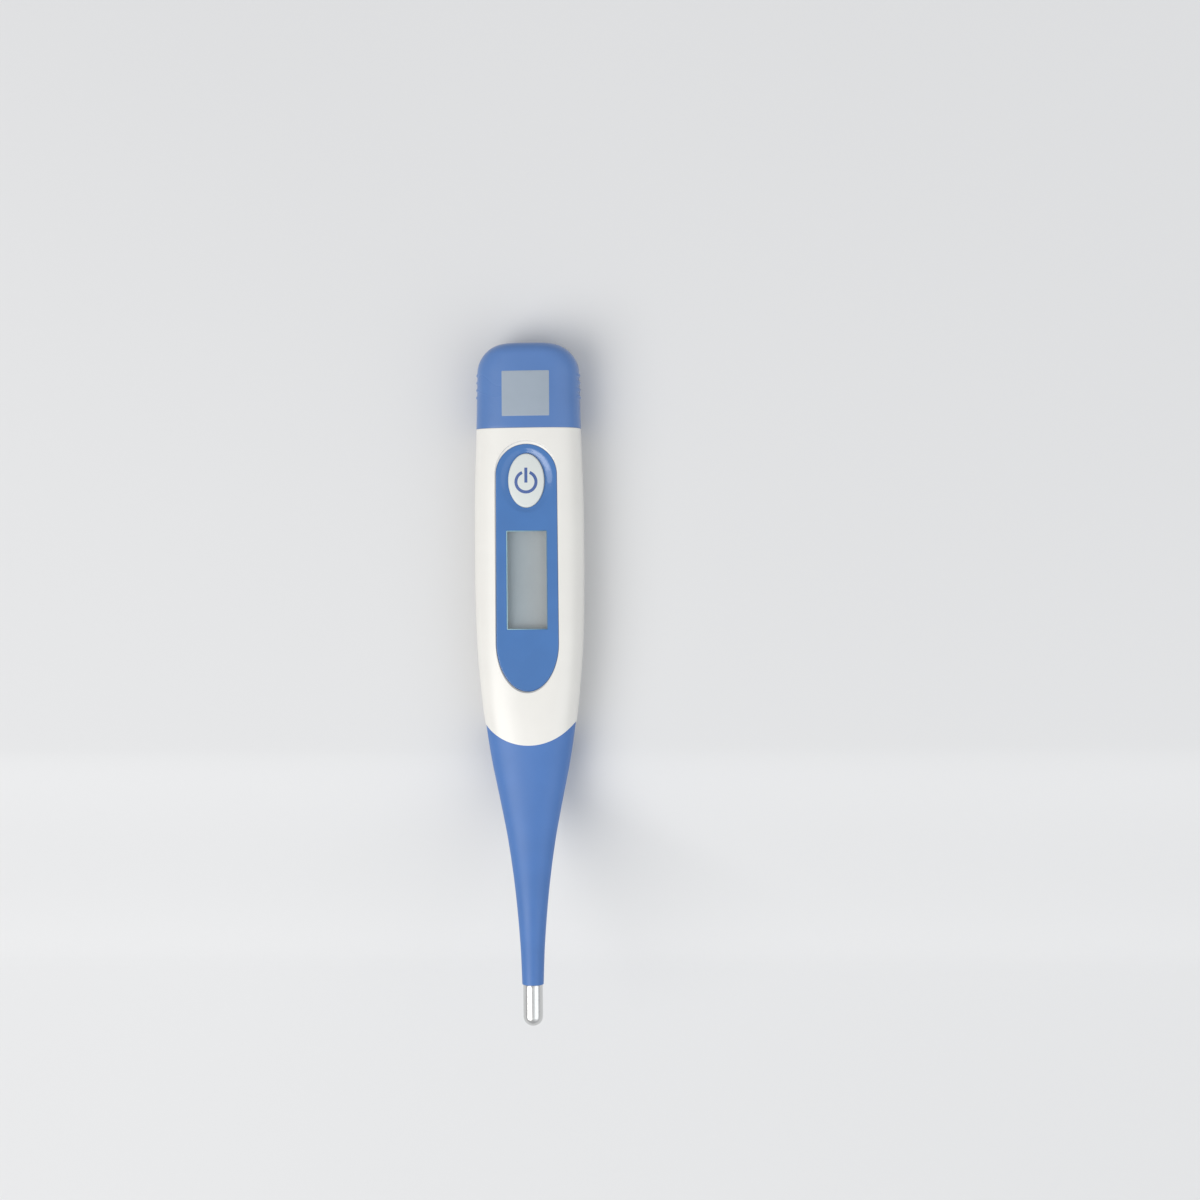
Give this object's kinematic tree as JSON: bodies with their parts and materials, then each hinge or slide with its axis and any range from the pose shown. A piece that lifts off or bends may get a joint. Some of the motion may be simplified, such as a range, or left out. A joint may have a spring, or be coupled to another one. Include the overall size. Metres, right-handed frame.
{
  "type": "digital thermometer",
  "caption": "Pen-shaped digital clinical thermometer with oval power key, display window, pull-off battery cover and flexible probe neck with steel tip.",
  "frame": {"origin": "on the resting face, under the middle of the overall length and width", "axes": "+Z out of the display, +Y along the body towards the battery cover, +X across the body"},
  "size_m": [0.0224, 0.14, 0.0119],
  "materials": {
    "white_shell": "satin warm white ABS",
    "blue_panel": "glossy mid blue",
    "clear_window": "clear acrylic",
    "adhesive": "thin pressure-sensitive film",
    "lcd_grey": "neutral grey polarizer",
    "lcd_glass": "display cell glass",
    "reflector": "matt reflector film",
    "zebra_rubber": "layered conductive rubber",
    "carrier_plastic": "natural ABS",
    "board_green": "glass-epoxy board with solder mask",
    "black_resin": "black epoxy",
    "component_tan": "ceramic chip parts",
    "solder": "bright solder and tinned wire",
    "spring_steel": "spring steel",
    "gasket_rubber": "pale silicone rubber",
    "button_grey": "pale grey satin key",
    "icon_blue": "blue inlay",
    "buzzer_brass": "brass sounder plate",
    "buzzer_ceramic": "piezo ceramic",
    "seal_rubber": "black silicone seal",
    "contact_metal": "plated spring bronze",
    "cell_steel": "nickel-plated steel",
    "cell_seal": "cell grommet",
    "blue_cover": "satin mid blue ABS",
    "pale_label": "plain pale label",
    "blue_neck": "satin blue thermoplastic elastomer",
    "probe_steel": "polished stainless steel",
    "wire_red": "insulated sensor leads"
  },
  "bodies": {
    "housing": {"front_shell": "white_shell", "back_shell": "white_shell", "display_panel": "blue_panel", "display_window": "clear_window", "window_adhesive": "adhesive", "lcd_polarizer": "lcd_grey", "lcd_front_glass": "lcd_glass", "lcd_rear_glass": "lcd_glass", "lcd_reflector": "reflector", "zebra_strips": "zebra_rubber", "display_carrier": "carrier_plastic", "circuit_board": "board_green", "controller_chip": "black_resin", "chip_components": "component_tan", "solder_joints": "solder", "snap_dome": "spring_steel", "button_gasket": "gasket_rubber", "buzzer_disc": "buzzer_brass", "buzzer_ceramic": "buzzer_ceramic", "buzzer_leads": "solder", "cover_seal": "seal_rubber", "contact_positive": "contact_metal", "contact_negative": "contact_metal", "spigot_collar": "white_shell", "battery_sled": "carrier_plastic", "neck_collar": "blue_neck", "sensor_leads": "wire_red"},
    "button": {"power_button": "button_grey", "power_icon": "icon_blue"},
    "cover": {"battery_cover": "blue_cover", "cover_label": "pale_label"},
    "cell": {"battery_can": "cell_steel", "battery_gasket": "cell_seal", "battery_cap": "cell_steel"},
    "neck_link_1": {"neck_segment_1": "blue_neck"},
    "neck_link_2": {"neck_segment_2": "blue_neck"},
    "neck_link_3": {"neck_segment_3": "blue_neck"},
    "neck_link_4": {"neck_segment_4": "blue_neck"},
    "neck_link_5": {"neck_segment_5": "blue_neck"},
    "neck_link_6": {"neck_segment_6": "blue_neck"},
    "neck_link_7": {"neck_segment_7": "blue_neck"},
    "neck_link_8": {"neck_segment_8": "blue_neck"},
    "neck_link_9": {"neck_segment_9": "blue_neck"},
    "probe": {"neck_tip": "blue_neck", "sensor_cap": "probe_steel", "sensor_potting": "black_resin", "thermistor": "black_resin"}
  },
  "joints": [
    {"name": "button_press", "type": "slide", "parent": "housing", "child": "button", "axis": [0, 0, -1], "range_m": [0, 0.00035], "stiffness_N_per_m": 4000, "deforming": ["snap_dome"]},
    {"name": "cover_slide", "type": "slide", "parent": "housing", "child": "cover", "axis": [0, 1, 0], "range_m": [0, 0.04]},
    {"name": "cell_slide", "type": "slide", "parent": "housing", "child": "cell", "axis": [0, 1, 0], "range_m": [0, 0.018]},
    {"name": "neck_bend_1", "type": "hinge", "parent": "housing", "child": "neck_link_1", "pos_m": [0, -0.024, 0.0059], "axis": [-1, 0, 0], "range_deg": [-12, 12], "stiffness_Nm_per_rad": 0.06, "deforming": ["sensor_leads"]},
    {"name": "neck_swing_2", "type": "hinge", "parent": "neck_link_1", "child": "neck_link_2", "pos_m": [0, -0.0275, 0.0059], "axis": [0, 0, 1], "range_deg": [-8, 8], "stiffness_Nm_per_rad": 0.06, "deforming": ["sensor_leads"]},
    {"name": "neck_bend_3", "type": "hinge", "parent": "neck_link_2", "child": "neck_link_3", "pos_m": [0, -0.031, 0.0059], "axis": [-1, 0, 0], "range_deg": [-12, 12], "deforming": ["sensor_leads"]},
    {"name": "neck_swing_4", "type": "hinge", "parent": "neck_link_3", "child": "neck_link_4", "pos_m": [0, -0.0345, 0.0059], "axis": [0, 0, 1], "range_deg": [-8, 8], "deforming": ["sensor_leads"]},
    {"name": "neck_bend_5", "type": "hinge", "parent": "neck_link_4", "child": "neck_link_5", "pos_m": [0, -0.038, 0.0059], "axis": [-1, 0, 0], "range_deg": [-12, 12], "deforming": ["sensor_leads"]},
    {"name": "neck_swing_6", "type": "hinge", "parent": "neck_link_5", "child": "neck_link_6", "pos_m": [0, -0.0415, 0.0059], "axis": [0, 0, 1], "range_deg": [-8, 8], "deforming": ["sensor_leads"]},
    {"name": "neck_bend_7", "type": "hinge", "parent": "neck_link_6", "child": "neck_link_7", "pos_m": [0, -0.045, 0.0059], "axis": [-1, 0, 0], "range_deg": [-12, 12], "deforming": ["sensor_leads"]},
    {"name": "neck_swing_8", "type": "hinge", "parent": "neck_link_7", "child": "neck_link_8", "pos_m": [0, -0.0485, 0.0059], "axis": [0, 0, 1], "range_deg": [-8, 8], "deforming": ["sensor_leads"]},
    {"name": "neck_bend_9", "type": "hinge", "parent": "neck_link_8", "child": "neck_link_9", "pos_m": [0, -0.052, 0.0059], "axis": [-1, 0, 0], "range_deg": [-12, 12], "deforming": ["sensor_leads"]},
    {"name": "neck_swing_10", "type": "hinge", "parent": "neck_link_9", "child": "probe", "pos_m": [0, -0.0555, 0.0059], "axis": [0, 0, 1], "range_deg": [-8, 8], "deforming": ["sensor_leads"]}
  ],
  "couplings": [
    {"joint": "cell_slide", "follows": "cover_slide", "ratio": 0.45},
    {"joint": "neck_bend_3", "follows": "neck_bend_1", "ratio": 1},
    {"joint": "neck_swing_4", "follows": "neck_swing_2", "ratio": 1},
    {"joint": "neck_bend_5", "follows": "neck_bend_1", "ratio": 1},
    {"joint": "neck_swing_6", "follows": "neck_swing_2", "ratio": 1},
    {"joint": "neck_bend_7", "follows": "neck_bend_1", "ratio": 1},
    {"joint": "neck_swing_8", "follows": "neck_swing_2", "ratio": 1},
    {"joint": "neck_bend_9", "follows": "neck_bend_1", "ratio": 1},
    {"joint": "neck_swing_10", "follows": "neck_swing_2", "ratio": 1}
  ]
}
